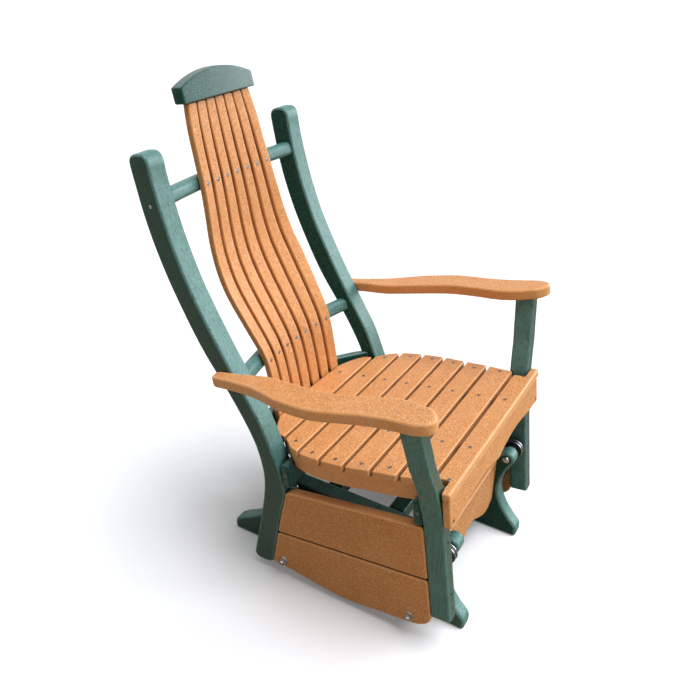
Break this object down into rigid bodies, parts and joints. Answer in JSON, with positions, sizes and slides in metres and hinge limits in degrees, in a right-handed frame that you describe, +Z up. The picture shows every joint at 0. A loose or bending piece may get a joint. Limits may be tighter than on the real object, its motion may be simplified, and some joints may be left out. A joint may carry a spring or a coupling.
{
  "type": "glider armchair",
  "caption": "Outdoor glider armchair of thick poly lumber boards: a slatted chair body hung by swing arms from a low floor base.",
  "frame": {"origin": "on the floor, under the middle of the bounding box", "axes": "+Z up, +X to the sitter's left, +Y to the back of the chair"},
  "size_m": [0.7308, 0.8074, 1.1577],
  "materials": {
    "cedar_poly_lumber": "satin, finely speckled",
    "green_poly_lumber": "satin, finely speckled",
    "black_coated_steel": "satin powder coat",
    "zinc_plated_steel": "bright zinc plate"
  },
  "bodies": {
    "base": {"base_cross_rail_front": "green_poly_lumber", "base_cross_rail_rear": "green_poly_lumber", "base_front_stretcher": "cedar_poly_lumber", "base_side_left": "green_poly_lumber", "base_side_right": "green_poly_lumber", "upper_pivot_bolt_front_left": "zinc_plated_steel", "upper_pivot_bolt_front_right": "zinc_plated_steel", "upper_pivot_bolt_rear_left": "zinc_plated_steel", "upper_pivot_bolt_rear_right": "zinc_plated_steel"},
    "front_arms": {"front_swing_arm_left": "black_coated_steel", "front_swing_arm_right": "black_coated_steel"},
    "rear_arms": {"rear_swing_arm_left": "black_coated_steel", "rear_swing_arm_right": "black_coated_steel"},
    "chair": {"apron": "cedar_poly_lumber", "armrest_left": "cedar_poly_lumber", "armrest_right": "cedar_poly_lumber", "back_slat_1": "cedar_poly_lumber", "back_slat_2": "cedar_poly_lumber", "back_slat_3": "cedar_poly_lumber", "back_slat_4": "cedar_poly_lumber", "back_slat_5": "cedar_poly_lumber", "back_slat_6": "cedar_poly_lumber", "back_slat_7": "cedar_poly_lumber", "front_cross_rail": "green_poly_lumber", "front_post_left": "green_poly_lumber", "front_post_right": "green_poly_lumber", "headrest": "green_poly_lumber", "lower_crossbar": "green_poly_lumber", "lower_pivot_bolt_front_left": "zinc_plated_steel", "lower_pivot_bolt_front_right": "zinc_plated_steel", "lower_pivot_bolt_rear_left": "zinc_plated_steel", "lower_pivot_bolt_rear_right": "zinc_plated_steel", "lower_pivot_nut_front_left": "zinc_plated_steel", "lower_pivot_nut_front_right": "zinc_plated_steel", "lower_pivot_nut_rear_left": "zinc_plated_steel", "lower_pivot_nut_rear_right": "zinc_plated_steel", "lower_side_board_left": "cedar_poly_lumber", "lower_side_board_right": "cedar_poly_lumber", "rear_cross_rail": "green_poly_lumber", "rear_post_left": "green_poly_lumber", "rear_post_right": "green_poly_lumber", "seat_band": "green_poly_lumber", "seat_rail_left": "green_poly_lumber", "seat_rail_right": "green_poly_lumber", "seat_slat_1": "cedar_poly_lumber", "seat_slat_2": "cedar_poly_lumber", "seat_slat_3": "cedar_poly_lumber", "seat_slat_4": "cedar_poly_lumber", "seat_slat_5": "cedar_poly_lumber", "seat_slat_6": "cedar_poly_lumber", "seat_slat_7": "cedar_poly_lumber", "seat_slat_8": "cedar_poly_lumber", "side_skirt_left": "cedar_poly_lumber", "side_skirt_right": "cedar_poly_lumber", "upper_crossbar": "green_poly_lumber", "upper_side_board_left": "cedar_poly_lumber", "upper_side_board_right": "cedar_poly_lumber"}
  },
  "joints": [
    {"name": "front_swing", "type": "hinge", "parent": "base", "child": "front_arms", "pos_m": [0, -0.3507, 0.242], "axis": [1, 0, 0], "range_deg": [-12, 12]},
    {"name": "chair_hinge", "type": "hinge", "parent": "front_arms", "child": "chair", "pos_m": [0, -0.2987, 0.06696], "axis": [1, 0, 0], "range_deg": [-14.4, 14.4]},
    {"name": "rear_swing", "type": "hinge", "parent": "base", "child": "rear_arms", "pos_m": [0, 0.0652, 0.238], "axis": [1, 0, 0], "range_deg": [-11.6, 11.6]}
  ],
  "couplings": [
    {"joint": "chair_hinge", "follows": "front_swing", "ratio": -1.189},
    {"joint": "rear_swing", "follows": "front_swing", "ratio": 0.95}
  ]
}
